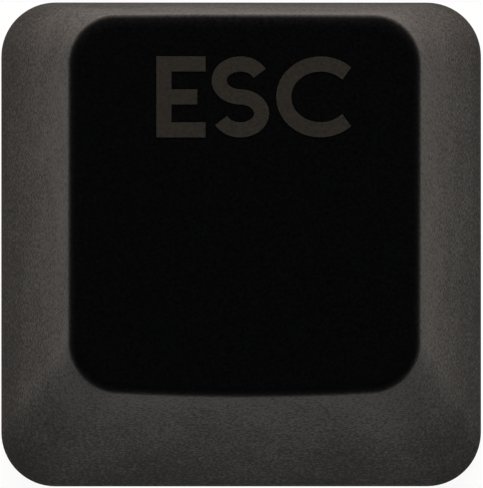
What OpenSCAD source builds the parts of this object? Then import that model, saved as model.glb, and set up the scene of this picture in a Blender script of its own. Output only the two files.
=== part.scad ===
// Keycap for one key of the top row of a keyboard, moulded in one piece.
// The skirt stands on z = 0 and the z axis is the axis of the stem. +X is the
// typist's right, and +Y points away from the typist. All sizes are in millimetres.

/* [Skirt] */
// Width of the skirt at its foot, left to right
skirt_w = 18.15; // [17.4:0.05:18.6]
// Depth of the skirt at its foot, front to back
skirt_d = 18.3; // [17.4:0.05:18.8]
// Radius of the upright corners at the foot
skirt_corner_r = 2.05; // [1.6:0.05:3]
// Radius of the fine round along the foot's outer edge
foot_edge_r = 0.1; // [0.05:0.05:0.3]

/* [Top face] */
// Width between the two side rims of the top face
top_w = 12.65; // [11.4:0.05:13.6]
// Depth of the top face, from its front rim to its back rim
top_d = 13.55; // [12.6:0.05:14.6]
// Radius of the top face's corners
top_corner_r = 1.8; // [1.5:0.05:2.6]
// How far the top face's middle stands behind the stem's axis
top_back = 1.55; // [0.8:0.025:1.8]
// Height of the rims above the foot, over the stem's axis
rim_h = 10.9; // [9.5:0.1:12.5]
// Lean of the top face towards the typist, in degrees
top_tilt = 4; // [0:0.5:8]
// Depth of the finger dish below its two side rims
dish_depth = 0.7; // [0.5:0.05:1.2]
// Radius of the round between the top face and the walls
rim_edge_r = 0.5; // [0.3:0.05:0.8]

/* [Shell] */
// Thickness of the four walls, measured level
wall = 1.15; // [0.9:0.05:1.4]
// Thickness of the roof under the bottom of the dish
roof = 1.3; // [1:0.05:1.8]
// Radius of the hollow's edge between the roof and the walls
hollow_edge_r = 0.4; // [0.2:0.05:0.8]

/* [Stem] */
// Diameter of the round stem
stem_d = 5.5; // [5.3:0.05:5.8]
// Height of the stem's end above the foot
stem_inset = 1.2; // [0.6:0.1:2]
// Chamfer round the stem's end
stem_chamfer = 0.2; // [0.1:0.05:0.3]
// Length of each arm slot of the cross socket, tip to tip
cross_len = 4.1; // [4:0.05:4.3]
// Width of the slot that runs left to right
cross_slot_x = 1.3; // [1.2:0.01:1.4]
// Width of the slot that runs front to back
cross_slot_y = 1.17; // [1.1:0.01:1.3]
// Depth of the cross socket
cross_depth = 4.2; // [3.8:0.1:4.6]
// Lead-in chamfer round the socket's mouth
cross_lead = 0.25; // [0.1:0.05:0.35]

/* [Ribs] */
// Thickness of the four ribs that tie the stem to the walls
rib_t = 0.8; // [0.6:0.05:1.2]
// Free length of the stem below the ribs
rib_clear = 4.4; // [4.2:0.1:5]

/* [Hidden] */
corner_steps = 8;        // facets in a quarter turn of a corner
side_steps = 4;          // facets along a left or right wall
end_steps = 10;          // facets along a front or back wall, which end in the dish's arc
edge_steps = 6;          // facets across a rounded edge
dish_rings = 4;          // rings of facets between the rim and the dish's middle
settle_steps = 8;        // rounds in which a wall's line settles on the surface that ends it
eps = 0.01;              // overrun of a cutting tool past the face that it opens
tilt_rise = tan(top_tilt);
dish_r = (pow(top_w / 2, 2) + pow(dish_depth, 2)) / (2 * dish_depth);
stem_r = stem_d / 2;
rib_foot = stem_inset + rib_clear;

function mix(a, b, t) = a + (b - a) * t;
function unit(v) = v / norm(v);

// The closing surfaces. The rim plane leans towards the typist, the dish is a
// trough sunk into it from front to back, and the hollow ends under a flat roof.
function rim_z(p) = rim_h + tilt_rise * p.y;
function dish_z(p) = rim_z(p) + dish_r - dish_depth - sqrt(pow(dish_r, 2) - pow(p.x, 2));
function roof_z(p) = rim_z(p) - dish_depth - roof;
function end_z(p, hollow) = hollow ? roof_z(p) : dish_z(p);
function end_normal(p, hollow) =
    unit([hollow ? 0 : -p.x / sqrt(pow(dish_r, 2) - pow(p.x, 2)), -tilt_rise, 1]);

// Every level outline is a rounded rectangle. A station says where on it a point
// is: [share of the way to a corner's centre in x, the same in y, heading], and
// the stations run once round, from the front end of the right wall.
stations = [
    for (i = [0 : side_steps - 1]) [1, mix(-1, 1, i / side_steps), 0],
    for (i = [0 : corner_steps - 1]) [1, 1, 90 * i / corner_steps],
    for (i = [0 : end_steps - 1]) [mix(1, -1, i / end_steps), 1, 90],
    for (i = [0 : corner_steps - 1]) [-1, 1, 90 + 90 * i / corner_steps],
    for (i = [0 : side_steps - 1]) [-1, mix(1, -1, i / side_steps), 180],
    for (i = [0 : corner_steps - 1]) [-1, -1, 180 + 90 * i / corner_steps],
    for (i = [0 : end_steps - 1]) [mix(-1, 1, i / end_steps), -1, 270],
    for (i = [0 : corner_steps - 1]) [1, -1, 270 + 90 * i / corner_steps]
];
function heading(s) = [cos(s[2]), sin(s[2])];

// A point of the outline at the share t of the way from the foot to the rim
// plane, taken in from the outer wall by inset.
function outline(s, t, inset) =
    let (r = mix(skirt_corner_r, top_corner_r, t))
    let (half_w = mix(skirt_w, top_w, t) / 2 - r)
    let (half_d = mix(skirt_d, top_d, t) / 2 - r)
    [0, top_back * t] + [s.x * half_w, s.y * half_d] + (r - inset) * heading(s);
function wall_point(s, t, inset) =
    let (p = outline(s, t, inset))
    [p.x, p.y, t * rim_z(p)];

// The share of the way up at which a wall's line meets the surface that ends it.
function end_share(s, inset, hollow, t = 1, n = settle_steps) =
    let (p = outline(s, t, inset))
    n == 0 ? t : end_share(s, inset, hollow, end_z(p, hollow) / rim_z(p), n - 1);

// Outward normal of a wall, from its level line and its climbing line.
function wall_normal(s, t, inset) =
    let (h = heading(s))
    let (climb = wall_point(s, t + eps, inset) - wall_point(s, t - eps, inset))
    unit(cross([-h.y, h.x, t * tilt_rise * h.x], climb));

// Round between a wall and the surface that ends it: a ball of radius r rolls
// along the edge, and each station gets its arc from the one face to the other.
function edge_arc(s, inset, hollow, r) =
    let (t = end_share(s, inset, hollow))
    let (p = wall_point(s, t, inset))
    let (a = wall_normal(s, t, inset))
    let (b = end_normal(p, hollow))
    let (ball = p - r * (a + b) / (1 + a * b))
    let (turn = acos(a * b))
    [for (i = [0 : edge_steps])
        ball + r * (a * sin(turn * (1 - i / edge_steps)) + b * sin(turn * i / edge_steps)) / sin(turn)];

// Rings of points: up the outside to the dish, and up the hollow to the roof.
rim_arcs = [for (s = stations) edge_arc(s, 0, false, rim_edge_r)];
roof_arcs = [for (s = stations) edge_arc(s, wall, true, hollow_edge_r)];
dish_middle = [0, top_back, dish_z([0, top_back])];
roof_middle = [0, top_back, roof_z([0, top_back])];
function arc_ring(arcs, i) = [for (arc = arcs) arc[i]];
function foot_ring(i) =
    let (a = 90 * i / edge_steps)
    [for (s = stations)
        let (z = foot_edge_r * (1 - cos(a)))
        let (p = wall_point(s, z / rim_h, foot_edge_r * (1 - sin(a))))
        [p.x, p.y, z]];
function dish_ring(i) =
    [for (arc = rim_arcs)
        let (p = mix(arc[edge_steps], dish_middle, i / dish_rings))
        [p.x, p.y, dish_z(p)]];
outer_rings = [
    for (i = [0 : edge_steps]) foot_ring(i),
    for (i = [0 : edge_steps]) arc_ring(rim_arcs, i),
    for (i = [1 : dish_rings - 1]) dish_ring(i)
];
hollow_rings = [
    for (i = [edge_steps : -1 : 0]) arc_ring(roof_arcs, i),
    [for (s = stations) wall_point(s, 0, wall)]
];

// Closes a stack of rings into a solid: the first ring falls to a start point
// and the last one rises to an end point.
module skin(rings, start, end) {
    n = len(rings[0]);
    last = len(rings) - 1;
    polyhedron(
        points = [start, for (ring = rings, p = ring) p, end],
        faces = [
            for (i = [0 : n - 1])
                [0, 1 + i, 1 + (i + 1) % n],
            for (j = [0 : last - 1], i = [0 : n - 1])
                let (a = 1 + j * n + i, b = 1 + j * n + (i + 1) % n)
                each [[a, a + n, b], [b, a + n, b + n]],
            for (i = [0 : n - 1])
                [1 + last * n + i, 1 + (last + 1) * n, 1 + last * n + (i + 1) % n]
        ]
    );
}

module shell() {
    skin(concat(hollow_rings, outer_rings), roof_middle, dish_middle);
}

module stem() {
    top = roof_z([0, 0]) + roof / 2;
    translate([0, 0, stem_inset])
        cylinder(h = stem_chamfer, r1 = stem_r - stem_chamfer, r2 = stem_r, $fn = 64);
    translate([0, 0, stem_inset + stem_chamfer])
        cylinder(h = top - stem_inset - stem_chamfer, r = stem_r, $fn = 64);
}

// A rib stands on edge from the stem out to the middle of a wall's thickness,
// and its head lies inside the roof. dir is 0 for right, 90 for back, and so on.
module rib(dir) {
    out = [cos(dir), sin(dir)];
    s = [abs(out.x) < eps ? 0 : out.x, abs(out.y) < eps ? 0 : out.y, dir];
    foot_p = outline(s, rib_foot / rim_h, wall / 2);
    head_p = outline(s, end_share(s, wall / 2, true), wall / 2);
    head_z = roof_z(head_p) + roof / 2;
    rotate([90, 0, dir])
        translate([0, 0, -rib_t / 2])
            linear_extrude(rib_t)
                polygon([
                    [0, rib_foot],
                    [foot_p * out, rib_foot],
                    [head_p * out, head_z],
                    [0, roof_z([0, 0]) + roof / 2]
                ]);
}

// One slot of the cross socket along x, open at the stem's end, with a bevelled mouth.
module slot(width) {
    bevel = width / 2 + cross_lead;
    translate([-cross_len / 2, -width / 2, -eps])
        cube([cross_len, width, cross_depth + eps]);
    rotate([90, 0, 90])
        translate([0, 0, -cross_len / 2])
            linear_extrude(cross_len)
                polygon([[-bevel - eps, -eps], [bevel + eps, -eps], [0, bevel]]);
    rotate([90, 0, 0])
        translate([0, 0, -width / 2])
            linear_extrude(width)
                polygon([
                    [-cross_len / 2 - cross_lead - eps, -eps],
                    [cross_len / 2 + cross_lead + eps, -eps],
                    [cross_len / 2, cross_lead],
                    [-cross_len / 2, cross_lead]
                ]);
}

module cross_socket() {
    translate([0, 0, stem_inset]) {
        slot(cross_slot_x);
        rotate(90) slot(cross_slot_y);
    }
}

module keycap() {
    color([0.03, 0.03, 0.035])
        difference() {
            union() {
                shell();
                stem();
                for (dir = [0 : 90 : 270]) rib(dir);
            }
            cross_socket();
        }
}

keycap();
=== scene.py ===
# %% [markdown]
# # A keycap for the top row of a keyboard
#
# The object is one moulding of black plastic: a square skirt that narrows on all
# four sides, a dished top that leans towards the typist, and underneath, out of
# sight when the cap stands on a desk, a hollow with a round stem, a cross-shaped
# socket and four ribs. Three letters are printed on the top.
#
# The lesson builds the studio first and the cap second. The cap's skin follows a
# rule, so Geometry Nodes make it. The stem is lofted, the ribs are one rib that
# nodes repeat, and the letters are strokes that nodes lay on the dish.

# %% Load the frame
import math

import bmesh
import bpy
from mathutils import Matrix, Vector


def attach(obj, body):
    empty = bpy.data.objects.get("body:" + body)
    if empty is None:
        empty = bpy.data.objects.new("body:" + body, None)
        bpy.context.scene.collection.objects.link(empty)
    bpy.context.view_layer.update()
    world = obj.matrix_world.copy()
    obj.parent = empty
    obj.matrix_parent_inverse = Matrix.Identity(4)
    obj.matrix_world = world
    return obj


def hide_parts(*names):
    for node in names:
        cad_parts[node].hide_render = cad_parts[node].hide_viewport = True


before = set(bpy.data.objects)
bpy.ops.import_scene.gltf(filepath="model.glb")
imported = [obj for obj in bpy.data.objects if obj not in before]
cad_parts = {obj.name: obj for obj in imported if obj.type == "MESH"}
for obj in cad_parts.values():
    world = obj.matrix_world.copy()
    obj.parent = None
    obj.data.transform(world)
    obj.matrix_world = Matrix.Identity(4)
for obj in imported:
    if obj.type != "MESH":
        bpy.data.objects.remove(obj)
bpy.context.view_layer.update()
MM = 0.001

# %% [markdown]
# ## Two small helpers
#
# Colours are picked on a screen, so they are written as sRGB hex values, but
# Blender's sockets hold linear light. One function turns the one into the other.
# Every node below is added by one other function, which takes the node's own
# settings and what goes into its sockets: a plain value, or another node's output.


# %% Colour and node helpers
def linear(hex_colour):
    """An sRGB hex colour such as "#0a0b0c" as the linear RGBA of Blender's sockets."""
    parts = [int(hex_colour[i:i + 2], 16) / 255 for i in (1, 3, 5)]
    return [c / 12.92 if c <= 0.04045 else ((c + 0.055) / 1.055) ** 2.4 for c in parts] + [1.0]


def add(tree, kind, settings=None, links=None):
    """Adds a node, sets its own settings, and fills its sockets with values or outputs."""
    node = tree.nodes.new(kind)
    for name, value in (settings or {}).items():
        setattr(node, name, value)
    for socket, value in (links or {}).items():
        if isinstance(value, bpy.types.NodeSocket):
            tree.links.new(value, node.inputs[socket])
        else:
            node.inputs[socket].default_value = value
    return node


print("mid grey, linear:", [round(c, 4) for c in linear("#808080")[:3]])

# %% [markdown]
# ## Camera
#
# The picture looks straight down on the cap from far away: the top face stands
# 11 mm nearer to the lens than the foot, yet it is shifted by only a few hundredths of a
# millimetre. So a very long lens stands 300 mm up, a hair to the left, and frames the
# cap edge to edge. The lens is worked out from the height that the frame takes in.

# %% Camera
AIM = Vector((0.011, 0.028, 0.0)) * MM
EYE = Vector((-3.4, 0.0, 300.0)) * MM
FRAME_HEIGHT = 18.424 * MM
SENSOR = 36.0

lens = bpy.data.cameras.new("camera")
lens.sensor_width = SENSOR
lens.lens = SENSOR * EYE.length / FRAME_HEIGHT
lens.clip_start = 0.01
camera = bpy.data.objects.new("camera", lens)
camera.location = AIM + EYE
camera.rotation_euler = (0.0, math.atan2(EYE.x, EYE.z), 0.0)
bpy.context.scene.collection.objects.link(camera)
bpy.context.scene.camera = camera
bpy.context.scene.view_settings.view_transform = "Standard"
print("lens, mm:", round(lens.lens, 1))

# %% [markdown]
# ## Studio
#
# The top face looks at the ceiling, and the walls look at the room. The top has to come
# out nearly black and the walls dark grey, though both are black plastic, so all the
# light comes from low down. The world is dark, and darkest overhead.
#
# Four soft boxes stand low round the cap, one on each side, so that no side of the cap
# is left without light. The one behind it is the strongest and a little warm, and the
# one in front a little cold, which tells the walls apart. They are kept out of the
# reflections, as polarising filters do in a real studio, or each one would draw a line
# along the rim.

# %% World
HORIZON_GLOW, CEILING_GLOW, CEILING_FROM = 0.08, 0.02, 0.3

world = bpy.data.worlds.new("studio")
bpy.context.scene.world = world
world.use_nodes = True
tree = world.node_tree
tree.nodes.clear()
toward = add(tree, "ShaderNodeTexCoord").outputs["Generated"]
height = add(tree, "ShaderNodeSeparateXYZ", {}, {0: toward}).outputs["Z"]
glow = add(tree, "ShaderNodeMapRange", {"interpolation_type": "SMOOTHSTEP"},
           {"Value": height, "From Min": 0.0, "From Max": CEILING_FROM,
            "To Min": HORIZON_GLOW, "To Max": CEILING_GLOW}).outputs[0]
sky = add(tree, "ShaderNodeBackground", {}, {"Color": (1, 1, 1, 1), "Strength": glow}).outputs[0]
add(tree, "ShaderNodeOutputWorld", {}, {"Surface": sky})
print("world: from", HORIZON_GLOW, "at the horizon to", CEILING_GLOW, "overhead")

# %% Soft boxes
BOX_SIZE = (0.5, 0.12)
SOFT_BOXES = {  # place in metres, power in watts, colour
    "left_box": ((-0.45, 0.0, 0.16), 1.2, "#fffdf9"),
    "right_box": ((0.45, 0.0, 0.16), 1.1, "#fffdf9"),
    "back_box": ((0.0, 0.45, 0.16), 8.0, "#fff4e9"),
    "front_box": ((0.0, -0.45, 0.11), 2.2, "#f7ffff"),
}

for name, (place, power, colour) in SOFT_BOXES.items():
    light = bpy.data.lights.new(name, "AREA")
    light.shape = "RECTANGLE"
    light.size, light.size_y = BOX_SIZE
    light.energy = power
    light.color = linear(colour)[:3]
    box = bpy.data.objects.new(name, light)
    box.location = place
    box.rotation_euler = (-Vector(place)).to_track_quat("-Z", "Y").to_euler()
    box.visible_glossy = False
    bpy.context.scene.collection.objects.link(box)
    print(name, "at", place, "m,", power, "W")

# %% [markdown]
# ## White paper
#
# The cap stands on a large sheet of white paper. Real paper sends back about nine
# tenths of the light, and the rest of the step to a pure white ground is made in its
# material: part of what the camera sees of it is a plain white of strength 1. Glossy
# and transmitted rays see the same, so that the cap's walls mirror the white that the
# eye sees, and the diffuse part keeps the cap's shadow. The sheet lies a hundredth of a
# millimetre under the foot, because two faces in one plane would flicker.

# %% White paper
PAPER_GLOW = 0.92

bpy.ops.mesh.primitive_plane_add(size=4.0, location=(0, 0, -0.01 * MM))
floor = bpy.context.object
floor.name = "paper"
paper = bpy.data.materials.new("white_paper")
paper.use_nodes = True
tree = paper.node_tree
tree.nodes.clear()
matte = add(tree, "ShaderNodeBsdfDiffuse", {}, {"Color": linear("#e6e6e6")}).outputs[0]
white = add(tree, "ShaderNodeEmission", {}, {"Color": (1, 1, 1, 1), "Strength": 1.0}).outputs[0]
ray = add(tree, "ShaderNodeLightPath").outputs
seen = add(tree, "ShaderNodeMath", {"operation": "ADD"},
           {0: ray["Is Camera Ray"], 1: ray["Is Glossy Ray"]}).outputs[0]
seen = add(tree, "ShaderNodeMath", {"operation": "ADD", "use_clamp": True},
           {0: seen, 1: ray["Is Transmission Ray"]}).outputs[0]
share = add(tree, "ShaderNodeMath", {"operation": "MULTIPLY"}, {0: seen, 1: PAPER_GLOW}).outputs[0]
sheet = add(tree, "ShaderNodeMixShader", {}, {0: share, 1: matte, 2: white}).outputs[0]
add(tree, "ShaderNodeOutputMaterial", {}, {"Surface": sheet})
floor.data.materials.append(paper)
print("paper glow:", PAPER_GLOW)

# %% [markdown]
# ## The plastic's finishes
#
# The cap is ABS, coloured black in the mass. What the eye reads is not the plastic but
# the steel that it was pressed against. The walls of the cavity are spark-eroded: they
# leave a fine even pitting on the skirt. The skirt's warm dark grey is a painted sheen:
# the grazing reflection of the white paper on the walls, put into their colour. The end
# of the cavity, which shapes the dish, is stoned much finer, and there the colour stays a
# deep black. The core of the mould, which shapes the hollow, is only milled and stoned.
#
# Skirt and dish could be two materials with a hard line between them, but on a real
# cap the one finish runs into the other over the rounded rim. So one material mixes
# them by how level the surface lies, and the skirt's painted sheen fades out where it
# lies level. Towards the rim fingers rub the skirt, so it is a little smoother there,
# and its grey is lighter there, because painted shade darkens it towards the foot. Pits
# this fine break up nearly all gloss, so its level is low. All patterns read the
# object's own coordinates and are set out in real millimetres. Real pitting is finer,
# and is drawn as coarse as it needs to show.

# %% Plastic as the eroded cavity leaves it
PIT_SIZE, PIT_DEPTH = 0.11 * MM, 0.008 * MM
CLOUD_SIZE = 2.5 * MM
NOISE_LOW, NOISE_HIGH = 0.3, 0.7  # noise seldom leaves this range
GRAIN, DRIFT = 0.55, 0.12  # how far pits and clouds move the shade, which runs from 0 to 1
SHADE_AND_RUB_TO = 10.5 * MM  # the height at which the shade is that of the rim
FOOT_SHADE, RIM_SHADE = 0.1, 0.9
# Painted sheen: the skirt's greys stand for the grazing reflection of the white paper on the walls, and the
# darker foot grey is painted shade.
FOOT_SHEEN_GREY, RIM_SHEEN_GREY = "#191715", "#2c2927"
DISH_PIT, DISH_PEAK = "#000000", "#090a0c"
SHEEN_FADES_FROM, SHEEN_FADES_TO = 0.25, 0.75  # the normal's height where the painted sheen starts to give way to the dish's black, and where it is gone
FOOT_ROUGHNESS, RIM_ROUGHNESS = 0.75, 0.5
ABS_IOR, GLOSS_LEVEL, GLOSS_TINT = 1.53, 0.04, "#ffeedd"

cavity_plastic = bpy.data.materials.new("black_abs_eroded_painted_sheen")
cavity_plastic.use_nodes = True
tree = cavity_plastic.node_tree
skin = tree.nodes["Principled BSDF"]
here = add(tree, "ShaderNodeTexCoord").outputs
pits = add(tree, "ShaderNodeTexNoise", {},
           {"Vector": here["Object"], "Scale": 1 / PIT_SIZE, "Detail": 2.0}).outputs[0]
clouds = add(tree, "ShaderNodeTexNoise", {},
             {"Vector": here["Object"], "Scale": 1 / CLOUD_SIZE, "Detail": 2.0}).outputs[0]
height = add(tree, "ShaderNodeSeparateXYZ", {}, {0: here["Object"]}).outputs["Z"]
# Painted shade: this ramp makes the skirt's grey darker towards the foot, where the walls reflect the paper
# in the cap's shadow. It also makes the skirt rougher there.
painted_shade_and_rub = add(tree, "ShaderNodeMapRange", {},
             {"Value": height, "From Max": SHADE_AND_RUB_TO, "To Min": FOOT_SHADE, "To Max": RIM_SHADE}).outputs[0]
moves = []
for noise, reach in ((pits, GRAIN), (clouds, DRIFT)):
    moves.append(add(tree, "ShaderNodeMapRange", {"clamp": False},
                     {"Value": noise, "From Min": NOISE_LOW, "From Max": NOISE_HIGH,
                      "To Min": -reach, "To Max": reach}).outputs[0])
uneven = add(tree, "ShaderNodeMath", {"operation": "ADD"}, {0: moves[0], 1: moves[1]}).outputs[0]
shade = add(tree, "ShaderNodeMath", {"operation": "ADD", "use_clamp": True},
            {0: painted_shade_and_rub, 1: uneven}).outputs[0]
# The skirt's colour is a painted sheen, darkened towards the foot by painted shade.
skirt = add(tree, "ShaderNodeMix", {"data_type": "RGBA"},
            {0: shade, 6: linear(FOOT_SHEEN_GREY), 7: linear(RIM_SHEEN_GREY)}).outputs[2]
# The painted sheen fades into the dish's black where the surface lies level.
faced = add(tree, "ShaderNodeSeparateXYZ", {}, {0: here["Normal"]}).outputs["Z"]
level = add(tree, "ShaderNodeMapRange", {"interpolation_type": "SMOOTHSTEP"},
            {"Value": faced, "From Min": SHEEN_FADES_FROM, "From Max": SHEEN_FADES_TO}).outputs[0]
dish = add(tree, "ShaderNodeMix", {"data_type": "RGBA"},
           {0: pits, 6: linear(DISH_PIT), 7: linear(DISH_PEAK)}).outputs[2]
black = add(tree, "ShaderNodeMix", {"data_type": "RGBA"}, {0: level, 6: skirt, 7: dish}).outputs[2]
rough = add(tree, "ShaderNodeMapRange", {},
            {"Value": shade, "To Min": FOOT_ROUGHNESS, "To Max": RIM_ROUGHNESS}).outputs[0]
relief = add(tree, "ShaderNodeBump", {},
             {"Strength": 1.0, "Distance": PIT_DEPTH, "Height": pits}).outputs[0]
for socket, value in {"Base Color": black, "Roughness": rough, "Normal": relief}.items():
    tree.links.new(value, skin.inputs[socket])
skin.inputs["IOR"].default_value = ABS_IOR
skin.inputs["Specular IOR Level"].default_value = GLOSS_LEVEL
skin.inputs["Specular Tint"].default_value = linear(GLOSS_TINT)
print("pitting every", PIT_SIZE / MM, "mm,", PIT_DEPTH / MM, "mm deep")

# %% Plastic as the stoned core leaves it
STONE_SIZE, STONE_DEPTH = 0.5 * MM, 0.004 * MM
DRAWN_OUT = 0.15  # the pattern's scale along z, so a mark is about seven times as long as wide
CORE_BLACK, CORE_ROUGHNESS = "#08090a", (0.3, 0.5)

core_plastic = bpy.data.materials.new("black_abs_stoned")
core_plastic.use_nodes = True
tree = core_plastic.node_tree
skin = tree.nodes["Principled BSDF"]
place = add(tree, "ShaderNodeTexCoord").outputs["Object"]
flow = add(tree, "ShaderNodeMapping", {}, {"Vector": place, "Scale": (1.0, 1.0, DRAWN_OUT)}).outputs[0]
stoning = add(tree, "ShaderNodeTexNoise", {},
              {"Vector": flow, "Scale": 1 / STONE_SIZE, "Detail": 3.0}).outputs[0]
rough = add(tree, "ShaderNodeMapRange", {},
            {"Value": stoning, "To Min": CORE_ROUGHNESS[0], "To Max": CORE_ROUGHNESS[1]}).outputs[0]
relief = add(tree, "ShaderNodeBump", {},
             {"Strength": 1.0, "Distance": STONE_DEPTH, "Height": stoning}).outputs[0]
for socket, value in {"Roughness": rough, "Normal": relief}.items():
    tree.links.new(value, skin.inputs[socket])
skin.inputs["Base Color"].default_value = linear(CORE_BLACK)
skin.inputs["IOR"].default_value = ABS_IOR
print("stoning marks every", STONE_SIZE / MM, "mm, drawn out along the mould's opening")

# %% [markdown]
# ## Printing ink
#
# The letters are pad-printed in a dark grey ink that has lost most of its contrast.
# Such an ink lies on the plastic as a film of a few hundredths of a millimetre, flat
# and dry, and wears unevenly on the grain under it. So it is a grey a step above the
# plastic's black, mottled at the size of the pitting, and rougher than the plastic.

# %% Pad-print ink
INK_WORN, INK_WHOLE = "#131211", "#2e2c29"
INK_ROUGHNESS, INK_GLOSS = 0.75, 0.15

ink = bpy.data.materials.new("grey_pad_print_ink")
ink.use_nodes = True
tree = ink.node_tree
skin = tree.nodes["Principled BSDF"]
place = add(tree, "ShaderNodeTexCoord").outputs["Object"]
wear = add(tree, "ShaderNodeTexNoise", {},
           {"Vector": place, "Scale": 1 / PIT_SIZE, "Detail": 3.0}).outputs[0]
grey = add(tree, "ShaderNodeMix", {"data_type": "RGBA"},
           {0: wear, 6: linear(INK_WORN), 7: linear(INK_WHOLE)}).outputs[2]
relief = add(tree, "ShaderNodeBump", {},
             {"Strength": 1.0, "Distance": PIT_DEPTH / 2, "Height": wear}).outputs[0]
for socket, value in {"Base Color": grey, "Normal": relief}.items():
    tree.links.new(value, skin.inputs[socket])
skin.inputs["Roughness"].default_value = INK_ROUGHNESS
skin.inputs["Specular IOR Level"].default_value = INK_GLOSS
print("finishes:", [m.name for m in (cavity_plastic, core_plastic, ink)])

# %% [markdown]
# ## The rule behind the skin
#
# Every level cut through the walls is a rounded rectangle. From the foot to the rim
# it shrinks, moves back and changes its corner radius, all in step with the share of
# the way up. The top ends in a trough, the finger dish, which is sunk into a plane that
# leans towards the typist. Where walls and dish meet, a ball of constant radius rolls
# along the edge.
#
# Such a form could be cut from a block by hand, but then no size could change any
# more. Here each part of the rule is a small node group with named inputs. The sizes
# are held under the names of those inputs, so that one table fills every tree.

# %% Sizes of the moulding
SIZES = {
    "Skirt Width": 18.15 * MM, "Skirt Depth": 18.3 * MM, "Skirt Corner Radius": 2.05 * MM,
    "Top Width": 12.65 * MM, "Top Depth": 13.55 * MM, "Top Corner Radius": 1.8 * MM,
    "Top Back": 1.55 * MM, "Rim Height": 10.9 * MM, "Rise": math.tan(math.radians(4.0)),
    "Dish Depth": 0.7 * MM, "Foot Edge Radius": 0.1 * MM, "Rim Edge Radius": 0.5 * MM,
    "Wall": 1.15 * MM, "Roof": 1.3 * MM, "Hollow Edge Radius": 0.4 * MM,
}
SIZES["Dish Radius"] = ((SIZES["Top Width"] / 2) ** 2 + SIZES["Dish Depth"] ** 2) / (2 * SIZES["Dish Depth"])
ROOF_R = 1.0  # in metres: at the size of a key, a trough of this radius is flat
print("radius of the dish, mm:", round(SIZES["Dish Radius"] / MM, 2))


# %% A helper for node groups
def group(name, inputs, outputs):
    """An empty node tree with named sockets, and the sockets of its two ends."""
    tree = bpy.data.node_groups.new(name, "GeometryNodeTree")
    for side, sockets in (("INPUT", inputs), ("OUTPUT", outputs)):
        for label, kind in sockets.items():
            tree.interface.new_socket(label, in_out=side, socket_type="NodeSocket" + kind)
    return tree, tree.nodes.new("NodeGroupInput").outputs, tree.nodes.new("NodeGroupOutput").inputs


# %% Node group: a wall's line from the foot to the rim
# Foot and Top hold half the width, half the depth and the corner radius. Corner says
# on which side of the middle a point is, and Heading which way the wall faces there.
WALL_INPUTS = {"Corner": "Vector", "Heading": "Vector", "Inset": "Float", "Foot": "Vector",
               "Top": "Vector", "Back": "Float", "Rim Height": "Float", "Rise": "Float"}

wall_line, given, result = group("wall line", {**WALL_INPUTS, "Share": "Float"},
                                 {"Point": "Vector", "Rim": "Float"})
t = wall_line
size = add(t, "ShaderNodeMix", {"data_type": "VECTOR", "clamp_factor": False},
           {0: given["Share"], 4: given["Foot"], 5: given["Top"]}).outputs[1]
radius = add(t, "ShaderNodeSeparateXYZ", {}, {0: size}).outputs["Z"]
core = add(t, "ShaderNodeVectorMath", {"operation": "SUBTRACT"}, {0: size, 1: radius}).outputs[0]
reach = add(t, "ShaderNodeMath", {"operation": "SUBTRACT"}, {0: radius, 1: given["Inset"]}).outputs[0]
turned = add(t, "ShaderNodeVectorMath", {"operation": "SCALE"},
             {0: given["Heading"], "Scale": reach}).outputs[0]
level = add(t, "ShaderNodeVectorMath", {"operation": "MULTIPLY_ADD"},
            {0: given["Corner"], 1: core, 2: turned}).outputs[0]
moved = add(t, "ShaderNodeMath", {"operation": "MULTIPLY"},
            {0: given["Back"], 1: given["Share"]}).outputs[0]
shift = add(t, "ShaderNodeCombineXYZ", {}, {"Y": moved}).outputs[0]
level = add(t, "ShaderNodeVectorMath", {"operation": "ADD"}, {0: level, 1: shift}).outputs[0]
flat = add(t, "ShaderNodeSeparateXYZ", {}, {0: level}).outputs
rim = add(t, "ShaderNodeMath", {"operation": "MULTIPLY_ADD"},
          {0: flat["Y"], 1: given["Rise"], 2: given["Rim Height"]}).outputs[0]
height = add(t, "ShaderNodeMath", {"operation": "MULTIPLY"}, {0: rim, 1: given["Share"]}).outputs[0]
point = add(t, "ShaderNodeCombineXYZ", {}, {0: flat["X"], 1: flat["Y"], 2: height}).outputs[0]
t.links.new(point, result["Point"])
t.links.new(rim, result["Rim"])
print(t.name, len(t.nodes), "nodes")


# %% A helper that hands a tree's own sizes on to the wall line
def wall_sizes(tree, given):
    """The wall line's sizes, from the inputs of a tree that has the skirt's and the top's."""
    found = {"Back": given["Top Back"], "Rim Height": given["Rim Height"], "Rise": given["Rise"]}
    for label, end in (("Foot", "Skirt"), ("Top", "Top")):
        full = add(tree, "ShaderNodeCombineXYZ", {}, {0: given[end + " Width"], 1: given[end + " Depth"]})
        radius = add(tree, "ShaderNodeCombineXYZ", {}, {2: given[end + " Corner Radius"]})
        found[label] = add(tree, "ShaderNodeVectorMath", {"operation": "MULTIPLY_ADD"},
                           {0: full.outputs[0], 1: (0.5, 0.5, 0.5), 2: radius.outputs[0]}).outputs[0]
    return found


# %% Node group: the surface that closes the walls
# Drop is how far the surface's lowest line lies under the rim plane, and Radius is that
# of the trough. The hollow's roof is the same surface with a radius so great that it is flat.
COVER_INPUTS = {"Rim Height": "Float", "Rise": "Float", "Drop": "Float", "Radius": "Float"}

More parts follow.
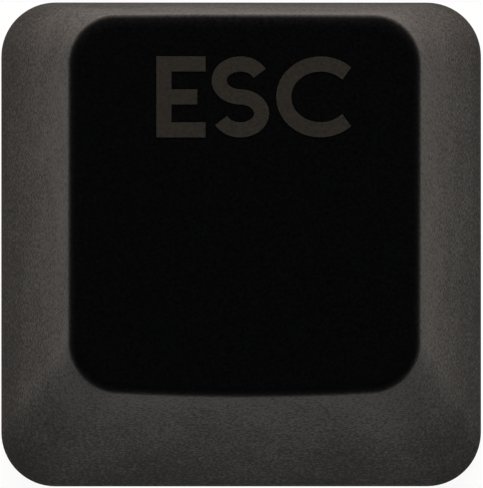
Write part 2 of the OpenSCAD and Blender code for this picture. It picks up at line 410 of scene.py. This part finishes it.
cover, given, result = group("closing surface", {**COVER_INPUTS, "Point": "Vector"},
                             {"Point": "Vector", "Height": "Float", "Normal": "Vector"})
t = cover
flat = add(t, "ShaderNodeSeparateXYZ", {}, {0: given["Point"]}).outputs
rim = add(t, "ShaderNodeMath", {"operation": "MULTIPLY_ADD"},
          {0: flat["Y"], 1: given["Rise"], 2: given["Rim Height"]}).outputs[0]
bottom = add(t, "ShaderNodeMath", {"operation": "SUBTRACT"}, {0: rim, 1: given["Drop"]}).outputs[0]
lean = add(t, "ShaderNodeMath", {"operation": "DIVIDE"}, {0: flat["X"], 1: given["Radius"]}).outputs[0]
angle = add(t, "ShaderNodeMath", {"operation": "ARCSINE"}, {0: lean}).outputs[0]
upright = add(t, "ShaderNodeMath", {"operation": "COSINE"}, {0: angle}).outputs[0]
missing = add(t, "ShaderNodeMath", {"operation": "SUBTRACT"}, {0: 1.0, 1: upright}).outputs[0]
height = add(t, "ShaderNodeMath", {"operation": "MULTIPLY_ADD"},
             {0: missing, 1: given["Radius"], 2: bottom}).outputs[0]
slope = add(t, "ShaderNodeMath", {"operation": "TANGENT"}, {0: angle}).outputs[0]
downward = add(t, "ShaderNodeCombineXYZ", {}, {0: slope, 1: given["Rise"], 2: -1.0}).outputs[0]
upward = add(t, "ShaderNodeVectorMath", {"operation": "SCALE"}, {0: downward, "Scale": -1.0}).outputs[0]
normal = add(t, "ShaderNodeVectorMath", {"operation": "NORMALIZE"}, {0: upward}).outputs[0]
point = add(t, "ShaderNodeCombineXYZ", {}, {0: flat["X"], 1: flat["Y"], 2: height}).outputs[0]
for socket, value in {"Point": point, "Height": height, "Normal": normal}.items():
    t.links.new(value, result[socket])
print(t.name, len(t.nodes), "nodes")

# %% [markdown]
# The rolling ball needs the sharp edge first: the share of the way up at which a
# wall's line meets the surface that closes it. A repeat zone finds it by trying a
# share, asking how high the surface is above that point, and trying that height
# again. Eight rounds are plenty. The ball then sits where it touches both faces, and
# Step sweeps from its touch on the wall to its touch on the surface.

# %% Node group: the rounded edge
EDGE_INPUTS = {**WALL_INPUTS, "Drop": "Float", "Radius": "Float", "Edge Radius": "Float", "Step": "Float"}
ROUNDS = 8

rounded_edge, given, result = group("rounded edge", EDGE_INPUTS, {"Point": "Vector"})
t = rounded_edge
on_wall = {name: given[name] for name in WALL_INPUTS}
on_cover = {name: given[name] for name in COVER_INPUTS}
first = add(t, "GeometryNodeRepeatInput")
last = add(t, "GeometryNodeRepeatOutput")
first.pair_with_output(last)
last.repeat_items.clear()
last.repeat_items.new("FLOAT", "Share")
first.inputs["Iterations"].default_value = ROUNDS
first.inputs["Share"].default_value = 1.0
trial = add(t, "GeometryNodeGroup", {"node_tree": wall_line},
            {**on_wall, "Share": first.outputs["Share"]}).outputs
height = add(t, "GeometryNodeGroup", {"node_tree": cover},
             {**on_cover, "Point": trial["Point"]}).outputs["Height"]
share = add(t, "ShaderNodeMath", {"operation": "DIVIDE"}, {0: height, 1: trial["Rim"]}).outputs[0]
t.links.new(share, last.inputs["Share"])
share = last.outputs["Share"]
sharp = add(t, "GeometryNodeGroup", {"node_tree": wall_line}, {**on_wall, "Share": share}).outputs["Point"]
foot = add(t, "GeometryNodeGroup", {"node_tree": wall_line}, {**on_wall, "Share": 0.0}).outputs["Point"]
climb = add(t, "ShaderNodeVectorMath", {"operation": "SUBTRACT"}, {0: sharp, 1: foot}).outputs[0]
faced = add(t, "ShaderNodeSeparateXYZ", {}, {0: given["Heading"]}).outputs
aside = add(t, "ShaderNodeMath", {"operation": "MULTIPLY"}, {0: faced["Y"], 1: -1.0}).outputs[0]
lift = add(t, "ShaderNodeMath", {"operation": "MULTIPLY"}, {0: faced["X"], 1: given["Rise"]}).outputs[0]
along = add(t, "ShaderNodeCombineXYZ", {}, {0: aside, 1: faced["X"], 2: lift}).outputs[0]
outward = add(t, "ShaderNodeVectorMath", {"operation": "CROSS_PRODUCT"}, {0: along, 1: climb}).outputs[0]
outward = add(t, "ShaderNodeVectorMath", {"operation": "NORMALIZE"}, {0: outward}).outputs[0]
upward = add(t, "GeometryNodeGroup", {"node_tree": cover}, {**on_cover, "Point": sharp}).outputs["Normal"]
both = add(t, "ShaderNodeVectorMath", {"operation": "ADD"}, {0: outward, 1: upward}).outputs[0]
spread = add(t, "ShaderNodeVectorMath", {"operation": "DOT_PRODUCT"},
             {0: outward, 1: upward}).outputs["Value"]
spread = add(t, "ShaderNodeMath", {"operation": "ADD"}, {0: spread, 1: 1.0}).outputs[0]
depth = add(t, "ShaderNodeMath", {"operation": "DIVIDE"}, {0: given["Edge Radius"], 1: spread}).outputs[0]
inward = add(t, "ShaderNodeVectorMath", {"operation": "SCALE"}, {0: both, "Scale": depth}).outputs[0]
ball = add(t, "ShaderNodeVectorMath", {"operation": "SUBTRACT"}, {0: sharp, 1: inward}).outputs[0]
facing = add(t, "ShaderNodeMix", {"data_type": "VECTOR"},
             {0: given["Step"], 4: outward, 5: upward}).outputs[1]
facing = add(t, "ShaderNodeVectorMath", {"operation": "NORMALIZE"}, {0: facing}).outputs[0]
touch = add(t, "ShaderNodeVectorMath", {"operation": "SCALE"},
            {0: facing, "Scale": given["Edge Radius"]}).outputs[0]
point = add(t, "ShaderNodeVectorMath", {"operation": "ADD"}, {0: ball, 1: touch}).outputs[0]
t.links.new(point, result["Point"])
print(t.name, len(t.nodes), "nodes")

# %% [markdown]
# ## The skin
#
# The skin starts as a plain block, 4 wide, 4 deep and one unit high for each ring of
# points. Its sides become, from the bottom up, the hollow's edge, the hollow's wall,
# the foot, the outer wall and the rim. Its bottom becomes the roof of the hollow and
# its top the dish. So the whole skin is made of four-sided faces with no pole, and it
# is closed because a block is closed.
#
# Seen from above, the block's outline runs from -2 to 2. What lies within -1 and 1
# goes to a straight side, and what lies beyond it turns a corner.

# %% Geometry Nodes: the skin of the cap
ACROSS = 41
SPANS = [("hollow edge", 10), ("hollow wall", 6), ("foot", 1),
         ("foot edge", 8), ("outer wall", 6), ("rim edge", 10)]

skin_tree, given, result = group(
    "keycap skin", {**dict.fromkeys(SIZES, "Float"), "Outside": "Material", "Inside": "Material"},
    {"Skin": "Geometry"})
t = skin_tree
starts = [sum(count for _, count in SPANS[:k]) for k in range(len(SPANS) + 1)]
rings = starts[-1]
block = add(t, "GeometryNodeMeshCube", {},
            {"Size": (4.0, 4.0, rings), "Vertices X": ACROSS, "Vertices Y": ACROSS,
             "Vertices Z": rings + 1}).outputs["Mesh"]
place = add(t, "GeometryNodeInputPosition").outputs[0]
parts = add(t, "ShaderNodeSeparateXYZ", {}, {0: place}).outputs
ring = add(t, "ShaderNodeMath", {"operation": "ADD"}, {0: parts["Z"], 1: rings / 2}).outputs[0]
notes = add(t, "GeometryNodeCaptureAttribute", {"domain": "POINT"})
notes.capture_items.new("FLOAT", "Ring")
t.links.new(block, notes.inputs["Geometry"])
t.links.new(ring, notes.inputs["Ring"])
print(t.name, "has", rings, "rings, which start at", dict(zip([name for name, _ in SPANS], starts)))

# %% Where a point of the block stands on the outline
far_x = add(t, "ShaderNodeMath", {"operation": "ABSOLUTE"}, {0: parts["X"]}).outputs[0]
far_y = add(t, "ShaderNodeMath", {"operation": "ABSOLUTE"}, {0: parts["Y"]}).outputs[0]
far = add(t, "ShaderNodeMath", {"operation": "MAXIMUM"}, {0: far_x, 1: far_y}).outputs[0]
to_edge = add(t, "ShaderNodeMath", {"operation": "DIVIDE"}, {0: 2.0, 1: far}).outputs[0]
flat = add(t, "ShaderNodeVectorMath", {"operation": "MULTIPLY"}, {0: place, 1: (1, 1, 0)}).outputs[0]
square = add(t, "ShaderNodeVectorMath", {"operation": "SCALE"}, {0: flat, "Scale": to_edge}).outputs[0]
corner = add(t, "ShaderNodeVectorMath", {"operation": "MINIMUM"}, {0: square, 1: (1, 1, 1)}).outputs[0]
corner = add(t, "ShaderNodeVectorMath", {"operation": "MAXIMUM"}, {0: corner, 1: (-1, -1, -1)}).outputs[0]
away = add(t, "ShaderNodeVectorMath", {"operation": "SUBTRACT"}, {0: square, 1: corner}).outputs[0]
heading = add(t, "ShaderNodeVectorMath", {"operation": "NORMALIZE"}, {0: away}).outputs[0]
on_wall = {"Corner": corner, "Heading": heading, **wall_sizes(t, given)}
print(t.name, len(t.nodes), "nodes so far")

# %% The six spans of rings, each mixed over the one below it
steps = []
for k, (name, _) in enumerate(SPANS):
    course = "SMOOTHERSTEP" if name.endswith("wall") else "LINEAR"
    steps.append(add(t, "ShaderNodeMapRange", {"interpolation_type": course},
                     {"Value": ring, "From Min": starts[k], "From Max": starts[k + 1]}).outputs[0])
roof_drop = add(t, "ShaderNodeMath", {"operation": "ADD"},
                {0: given["Dish Depth"], 1: given["Roof"]}).outputs[0]
roof_step = add(t, "ShaderNodeMath", {"operation": "SUBTRACT"}, {0: 1.0, 1: steps[0]}).outputs[0]
hollow_edge = add(t, "GeometryNodeGroup", {"node_tree": rounded_edge},
                  {**on_wall, "Inset": given["Wall"], "Drop": roof_drop, "Radius": ROOF_R,
                   "Edge Radius": given["Hollow Edge Radius"], "Step": roof_step}).outputs[0]
hollow_foot = add(t, "GeometryNodeGroup", {"node_tree": wall_line},
                  {**on_wall, "Share": 0.0, "Inset": given["Wall"]}).outputs["Point"]
skin = add(t, "ShaderNodeMix", {"data_type": "VECTOR"},
           {0: steps[1], 4: hollow_edge, 5: hollow_foot}).outputs[1]

turn = add(t, "ShaderNodeMath", {"operation": "MULTIPLY"}, {0: steps[3], 1: math.pi / 2}).outputs[0]
turn_cos = add(t, "ShaderNodeMath", {"operation": "COSINE"}, {0: turn}).outputs[0]
turn_sin = add(t, "ShaderNodeMath", {"operation": "SINE"}, {0: turn}).outputs[0]
risen = add(t, "ShaderNodeMath", {"operation": "SUBTRACT"}, {0: 1.0, 1: turn_cos}).outputs[0]
risen = add(t, "ShaderNodeMath", {"operation": "MULTIPLY"},
            {0: risen, 1: given["Foot Edge Radius"]}).outputs[0]
risen = add(t, "ShaderNodeMath", {"operation": "DIVIDE"}, {0: risen, 1: given["Rim Height"]}).outputs[0]
drawn_in = add(t, "ShaderNodeMath", {"operation": "SUBTRACT"}, {0: 1.0, 1: turn_sin}).outputs[0]
drawn_in = add(t, "ShaderNodeMath", {"operation": "MULTIPLY"},
               {0: drawn_in, 1: given["Foot Edge Radius"]}).outputs[0]
foot_edge = add(t, "GeometryNodeGroup", {"node_tree": wall_line},
                {**on_wall, "Share": risen, "Inset": drawn_in}).outputs["Point"]
skin = add(t, "ShaderNodeMix", {"data_type": "VECTOR"}, {0: steps[2], 4: skin, 5: foot_edge}).outputs[1]
rim_edge = add(t, "GeometryNodeGroup", {"node_tree": rounded_edge},
               {**on_wall, "Inset": 0.0, "Drop": given["Dish Depth"], "Radius": given["Dish Radius"],
                "Edge Radius": given["Rim Edge Radius"], "Step": steps[5]}).outputs[0]
skin = add(t, "ShaderNodeMix", {"data_type": "VECTOR"}, {0: steps[4], 4: skin, 5: rim_edge}).outputs[1]
print("spans:", [name for name, _ in SPANS])

# %% The roof and the dish, which draw in from the last ring to the middle
OFF_THE_EDGE = 0.001

shrink = add(t, "ShaderNodeMapRange", {},
             {"Value": far, "From Max": 2.0, "To Min": 1.0, "To Max": 0.0}).outputs[0]
center = add(t, "ShaderNodeCombineXYZ", {}, {"Y": given["Top Back"]}).outputs[0]
drawn = add(t, "ShaderNodeMix", {"data_type": "VECTOR"}, {0: shrink, 4: skin, 5: center}).outputs[1]
lean = {"Point": drawn, "Rim Height": given["Rim Height"], "Rise": given["Rise"]}
roof = add(t, "GeometryNodeGroup", {"node_tree": cover},
           {**lean, "Drop": roof_drop, "Radius": ROOF_R}).outputs["Point"]
dish = add(t, "GeometryNodeGroup", {"node_tree": cover},
           {**lean, "Drop": given["Dish Depth"], "Radius": given["Dish Radius"]}).outputs["Point"]
is_dish = add(t, "ShaderNodeMath", {"operation": "GREATER_THAN"}, {0: ring, 1: rings / 2}).outputs[0]
lid = add(t, "ShaderNodeMix", {"data_type": "VECTOR"}, {0: is_dish, 4: roof, 5: dish}).outputs[1]
is_lid = add(t, "ShaderNodeMath", {"operation": "GREATER_THAN"}, {0: shrink, 1: OFF_THE_EDGE}).outputs[0]
skin = add(t, "ShaderNodeMix", {"data_type": "VECTOR"}, {0: is_lid, 4: skin, 5: lid}).outputs[1]
shaped = add(t, "GeometryNodeSetPosition", {},
             {"Geometry": notes.outputs["Geometry"], "Position": skin}).outputs[0]
shaped = add(t, "GeometryNodeRealizeInstances", {}, {0: shaped}).outputs[0]
shaped = add(t, "GeometryNodeSetMaterial", {},
             {"Geometry": shaped, "Material": given["Outside"]}).outputs[0]
hollow = add(t, "ShaderNodeMath", {"operation": "LESS_THAN"},
             {0: notes.outputs["Ring"], 1: starts[2]}).outputs[0]
shaped = add(t, "GeometryNodeSetMaterial", {},
             {"Geometry": shaped, "Selection": hollow, "Material": given["Inside"]}).outputs[0]
t.links.new(shaped, result["Skin"])
print(t.name, len(t.nodes), "nodes")

# %% [markdown]
# A tree makes nothing by itself. It goes on a seed, an object with an empty mesh or a
# drawing, as a modifier whose inputs are filled by the sockets' identifiers. The result
# is then taken over as a plain mesh, and the seed is dropped.


# %% Growing a tree into a plain mesh
def settled(thing, name):
    """Takes over what the modifiers make of a thing as its own plain mesh."""
    bpy.context.view_layer.update()
    mesh = bpy.data.meshes.new_from_object(thing.evaluated_get(bpy.context.evaluated_depsgraph_get()))
    thing.modifiers.clear()
    mesh.name = name
    if mesh.materials[0] is None:  # the empty slot that a primitive brings along
        mesh.materials.pop(index=0)
    return mesh


def grow(name, tree, values, seed_data=None):
    """An object whose mesh is what a tree makes of its inputs, and of a drawing if one is given."""
    seed = bpy.data.objects.new(name + "_seed", seed_data or bpy.data.meshes.new(name + "_seed"))
    bpy.context.scene.collection.objects.link(seed)
    modifier = seed.modifiers.new("build", "NODES")
    modifier.node_group = tree
    for item in tree.interface.items_tree:
        if item.in_out == "INPUT" and item.name in values:
            modifier[item.identifier] = values[item.name]
    grown = bpy.data.objects.new(name, settled(seed, name))
    bpy.context.scene.collection.objects.link(grown)
    bpy.data.objects.remove(seed)
    print(name + ":", len(grown.data.vertices), "points,", len(grown.data.polygons), "faces")
    return grown


cap = grow("keycap_moulding", skin_tree, {**SIZES, "Outside": cavity_plastic, "Inside": core_plastic})

# %% [markdown]
# ## Four ribs
#
# Four ribs tie the stem to the walls, so that the roof doesn't give when the key is
# struck. They are one rib, turned by quarter turns, but each wall stands at its own
# distance and its own slope, and the roof leans. So a plain block is repeated four
# times, and each copy's far end is put on the middle of its wall's thickness by the
# same node group that drew the wall.

# %% Geometry Nodes: the ribs
STEM_FOOT, RIB_CLEAR = 1.2 * MM, 4.4 * MM
RIB_SIZES = {"Rib Thickness": 0.8 * MM, "Rib Foot": STEM_FOOT + RIB_CLEAR}
SHARED_SIZES = ["Skirt Width", "Skirt Depth", "Skirt Corner Radius", "Top Width", "Top Depth",
                "Top Corner Radius", "Top Back", "Rim Height", "Rise", "Dish Depth", "Wall", "Roof"]

rib_tree, given, result = group(
    "keycap ribs",
    {**dict.fromkeys([*SHARED_SIZES, *RIB_SIZES], "Float"), "Count": "Int", "Plastic": "Material"},
    {"Ribs": "Geometry"})
t = rib_tree
block = add(t, "GeometryNodeMeshCube", {}, {"Size": (1.0, 1.0, 1.0)}).outputs["Mesh"]
single = add(t, "GeometryNodeGeometryToInstance", {}, {0: block}).outputs[0]
copies = add(t, "GeometryNodeDuplicateElements", {"domain": "INSTANCE"},
             {"Geometry": single, "Amount": given["Count"]}).outputs
ribs = add(t, "GeometryNodeRealizeInstances", {}, {0: copies["Geometry"]}).outputs[0]
place = add(t, "GeometryNodeInputPosition").outputs[0]
parts = add(t, "ShaderNodeSeparateXYZ", {}, {0: place}).outputs
out = add(t, "ShaderNodeMath", {"operation": "ADD"}, {0: parts["X"], 1: 0.5}).outputs[0]
up = add(t, "ShaderNodeMath", {"operation": "ADD"}, {0: parts["Z"], 1: 0.5}).outputs[0]
turn = add(t, "ShaderNodeMath", {"operation": "MULTIPLY"},
           {0: copies["Duplicate Index"], 1: math.pi / 2}).outputs[0]
turn_cos = add(t, "ShaderNodeMath", {"operation": "COSINE"}, {0: turn}).outputs[0]
turn_sin = add(t, "ShaderNodeMath", {"operation": "SINE"}, {0: turn}).outputs[0]
heading = add(t, "ShaderNodeCombineXYZ", {}, {0: turn_cos, 1: turn_sin}).outputs[0]
left = add(t, "ShaderNodeMath", {"operation": "MULTIPLY"}, {0: turn_sin, 1: -1.0}).outputs[0]
across = add(t, "ShaderNodeCombineXYZ", {}, {0: left, 1: turn_cos}).outputs[0]
thick = add(t, "ShaderNodeMath", {"operation": "MULTIPLY"},
            {0: parts["Y"], 1: given["Rib Thickness"]}).outputs[0]
across = add(t, "ShaderNodeVectorMath", {"operation": "SCALE"}, {0: across, "Scale": thick}).outputs[0]
print(t.name, len(t.nodes), "nodes so far")

# %% Each rib's head lies inside the roof and its end inside the wall
half_roof = add(t, "ShaderNodeMath", {"operation": "MULTIPLY_ADD"},
                {0: given["Roof"], 1: 0.5, 2: given["Dish Depth"]}).outputs[0]
head = add(t, "ShaderNodeMath", {"operation": "SUBTRACT"},
           {0: given["Rim Height"], 1: half_roof}).outputs[0]
span = add(t, "ShaderNodeMath", {"operation": "SUBTRACT"}, {0: head, 1: given["Rib Foot"]}).outputs[0]
height = add(t, "ShaderNodeMath", {"operation": "MULTIPLY_ADD"},
             {0: up, 1: span, 2: given["Rib Foot"]}).outputs[0]
share = add(t, "ShaderNodeMath", {"operation": "DIVIDE"}, {0: height, 1: given["Rim Height"]}).outputs[0]
half_wall = add(t, "ShaderNodeMath", {"operation": "MULTIPLY"}, {0: given["Wall"], 1: 0.5}).outputs[0]
end = add(t, "GeometryNodeGroup", {"node_tree": wall_line},
          {"Corner": heading, "Heading": heading, "Share": share, "Inset": half_wall,
           **wall_sizes(t, given)}).outputs["Point"]
end = add(t, "ShaderNodeSeparateXYZ", {}, {0: end}).outputs
end_z = add(t, "ShaderNodeMix", {"data_type": "FLOAT"}, {0: up, 2: height, 3: end["Z"]}).outputs[0]
end = add(t, "ShaderNodeCombineXYZ", {}, {0: end["X"], 1: end["Y"], 2: end_z}).outputs[0]
root = add(t, "ShaderNodeCombineXYZ", {}, {2: height}).outputs[0]
middle = add(t, "ShaderNodeMix", {"data_type": "VECTOR"}, {0: out, 4: root, 5: end}).outputs[1]
point = add(t, "ShaderNodeVectorMath", {"operation": "ADD"}, {0: middle, 1: across}).outputs[0]
ribs = add(t, "GeometryNodeSetPosition", {}, {"Geometry": ribs, "Position": point}).outputs[0]
ribs = add(t, "GeometryNodeSetMaterial", {}, {"Geometry": ribs, "Material": given["Plastic"]}).outputs[0]
t.links.new(ribs, result["Ribs"])
print(t.name, len(t.nodes), "nodes")

ribs = grow("ribs", rib_tree, {**SIZES, **RIB_SIZES, "Count": 4, "Plastic": core_plastic})

# %% [markdown]
# ## Stem and cross socket
#
# The round stem goes over the switch. Its end is chamfered, and a cross-shaped socket
# with a bevelled mouth is sunk into it, which grips the switch's cross. Stem and
# socket are both lofts, a closed skin through a stack of level rings, so one helper
# makes the solid stem and the tool that cuts the socket.

# %% Stem and socket tool
STEM_R, STEM_CHAMFER = 2.75 * MM, 0.2 * MM
STEM_HEAD = SIZES["Rim Height"] - SIZES["Dish Depth"] - SIZES["Roof"] / 2
CROSS_LEN, CROSS_SLOT_X, CROSS_SLOT_Y = 4.1 * MM, 1.3 * MM, 1.17 * MM
CROSS_DEPTH, CROSS_LEAD = 4.2 * MM, 0.25 * MM
AROUND = 96


def loft(name, rings, material):
    """A closed object through a stack of rings, which turn left seen from the last one."""
    count, last = len(rings[0]), len(rings) - 1
    faces = [list(range(count))[::-1], [last * count + i for i in range(count)]]
    for low in range(0, last * count, count):
        for i, j in zip(range(count), [*range(1, count), 0]):
            faces.append([low + i, low + j, low + count + j, low + count + i])
    mesh = bpy.data.meshes.new(name)
    mesh.from_pydata([point for ring in rings for point in ring], [], faces)
    mesh.materials.append(material)
    piece = bpy.data.objects.new(name, mesh)
    bpy.context.scene.collection.objects.link(piece)
    print(name + ":", len(mesh.vertices), "points")
    return piece


def circle(radius, z):
    """A level ring of points round the stem's axis."""
    turns = [math.tau * i / AROUND for i in range(AROUND)]
    return [(radius * math.cos(turn), radius * math.sin(turn), z) for turn in turns]


def cross(grown, z):
    """The outline of the cross socket at a height, grown all round."""
    end = CROSS_LEN / 2 + grown
    x_half, y_half = CROSS_SLOT_X / 2 + grown, CROSS_SLOT_Y / 2 + grown
    quarter = [(end, x_half), (y_half, x_half), (y_half, end)]
    left = [(-x, y) for x, y in reversed(quarter)]
    below = [(-x, -y) for x, y in quarter + left]
    return [(x, y, z) for x, y in quarter + left + below]


stem = loft("stem", [circle(STEM_R - STEM_CHAMFER, STEM_FOOT), circle(STEM_R, STEM_FOOT + STEM_CHAMFER),
                     circle(STEM_R, STEM_HEAD)], core_plastic)
mouth = STEM_FOOT + CROSS_LEAD
socket_tool = loft("socket_tool", [cross(2 * CROSS_LEAD, STEM_FOOT - CROSS_LEAD), cross(0.0, mouth),
                                   cross(0.0, STEM_FOOT + CROSS_DEPTH)], core_plastic)

# %% [markdown]
# ## One moulding
#
# Skin, stem and ribs are one piece of plastic, so they are joined into one closed
# mesh, and then the socket is cut. Boolean modifiers do both, in the order in which a
# solid modeller would. Where a rib and the skin all but share a point, a boolean leaves
# two points a hair apart, which are merged. The edges stay crisp where faces meet at a
# real angle, and the skin's rounds are shaded smooth.


# %% Shading helper
def crisp(mesh, bend=35.0):
    """Shades a mesh smooth, but for edges that bend by more than an angle in degrees."""
    mesh.shade_smooth()
    mesh.set_sharp_from_angle(angle=math.radians(bend))


# %% Join and cut
MERGE_REACH = 0.0005 * MM

for tool, operation in ((stem, "UNION"), (ribs, "UNION"), (socket_tool, "DIFFERENCE")):
    modifier = cap.modifiers.new(tool.name, "BOOLEAN")
    modifier.object = tool
    modifier.operation = operation
    modifier.solver = "EXACT"
    modifier.material_mode = "TRANSFER"
cap.data = settled(cap, "keycap_moulding")
for tool in (stem, ribs, socket_tool):
    bpy.data.objects.remove(tool)
whole = bmesh.new()
whole.from_mesh(cap.data)
bmesh.ops.remove_doubles(whole, verts=whole.verts, dist=MERGE_REACH)
whole.to_mesh(cap.data)
whole.free()
crisp(cap.data)
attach(cap, "root")
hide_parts("keycap")
print("moulding:", len(cap.data.vertices), "points,", [m.name for m in cap.data.materials])

# %% [markdown]
# ## Legend
#
# The three letters name the key's function. They are plain letters of a constant
# stroke, drawn here from straight lines and arcs. A flat text would float over the
# dish or sink into it. So each stroke is a path in plan, and nodes sweep a thin flat
# strip along it and lift the strip onto the dish, with the same group that shaped it.

# %% Strokes of the letters
STROKE = 0.55 * MM
LETTER_FOOT, LETTER_HEAD = 3.91 * MM, 6.86 * MM
E_LEFT, E_RIGHT, E_WAIST = -3.21 * MM, -1.42 * MM, -1.72 * MM
S_LEFT, S_RIGHT = -1.2 * MM, 0.9 * MM
C_LEFT, C_RIGHT = 1.15 * MM, 4.39 * MM
S_CUT, C_CUT = 25, 45  # where the round letters end, in degrees above level


def arc(center, reach, start, stop, steps=24):
    """Points on an oval arc between two angles in degrees."""
    turns = [math.radians(start + (stop - start) * i / steps) for i in range(steps + 1)]
    return [(center[0] + reach[0] * math.cos(a), center[1] + reach[1] * math.sin(a)) for a in turns]


low, high = LETTER_FOOT + STROKE / 2, LETTER_HEAD - STROKE / 2
waist = (low + high) / 2
s_mid, c_mid = (S_LEFT + S_RIGHT) / 2, (C_LEFT + C_RIGHT) / 2
s_reach = ((S_RIGHT - S_LEFT - STROKE) / 2, (high - low) / 4)
c_reach = ((C_RIGHT - C_LEFT - STROKE) / 2, (high - low) / 2)
strokes = [
    [(E_LEFT + STROKE / 2, LETTER_FOOT), (E_LEFT + STROKE / 2, LETTER_HEAD)],
    [(E_LEFT + STROKE, high), (E_RIGHT, high)],
    [(E_LEFT + STROKE, waist), (E_WAIST, waist)],
    [(E_LEFT + STROKE, low), (E_RIGHT, low)],
    arc((s_mid, waist + s_reach[1]), s_reach, S_CUT, 270)
    + arc((s_mid, waist - s_reach[1]), s_reach, 90, S_CUT - 180)[1:],
    arc((c_mid, waist), c_reach, C_CUT, 360 - C_CUT),
]
lines = bpy.data.curves.new("legend_strokes", "CURVE")
lines.dimensions = "3D"
for stroke in strokes:
    spline = lines.splines.new("POLY")
    spline.points.add(len(stroke) - 1)
    for point, (x, y) in zip(spline.points, stroke):
        point.co = (x, y, 0.0, 1.0)
print("strokes:", len(strokes))

# %% Geometry Nodes: strips of ink on the dish
INK_FILM = 0.03 * MM
STOPS = 64
DISH_SIZES = ["Rim Height", "Rise", "Dish Depth", "Dish Radius"]

ink_tree, given, result = group(
    "legend print",
    {"Strokes": "Geometry", **dict.fromkeys(["Stroke Width", "Film", *DISH_SIZES], "Float"),
     "Ink": "Material"},
    {"Print": "Geometry"})
t = ink_tree
paths = add(t, "GeometryNodeResampleCurve", {}, {"Curve": given["Strokes"], "Count": STOPS}).outputs[0]
paths = add(t, "GeometryNodeSetCurveNormal", {"mode": "Z_UP"}, {"Curve": paths}).outputs[0]
strip = add(t, "GeometryNodeCurvePrimitiveQuadrilateral", {},
            {"Width": given["Stroke Width"], "Height": given["Film"]}).outputs[0]
strips = add(t, "GeometryNodeCurveToMesh", {},
             {"Curve": paths, "Profile Curve": strip, "Fill Caps": True}).outputs[0]
place = add(t, "GeometryNodeInputPosition").outputs[0]
dish = add(t, "GeometryNodeGroup", {"node_tree": cover},
           {"Point": place, "Rim Height": given["Rim Height"], "Rise": given["Rise"],
            "Drop": given["Dish Depth"], "Radius": given["Dish Radius"]}).outputs["Height"]
lift = add(t, "ShaderNodeCombineXYZ", {}, {2: dish}).outputs[0]
strips = add(t, "GeometryNodeSetPosition", {}, {"Geometry": strips, "Offset": lift}).outputs[0]
strips = add(t, "GeometryNodeRealizeInstances", {}, {0: strips}).outputs[0]
strips = add(t, "GeometryNodeSetMaterial", {}, {"Geometry": strips, "Material": given["Ink"]}).outputs[0]
t.links.new(strips, result["Print"])

legend = grow("legend", ink_tree, {**SIZES, "Stroke Width": STROKE, "Film": INK_FILM, "Ink": ink}, lines)
crisp(legend.data)
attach(legend, "root")
print("highest ink, mm:", round(max(v.co.z for v in legend.data.vertices) / MM, 3))
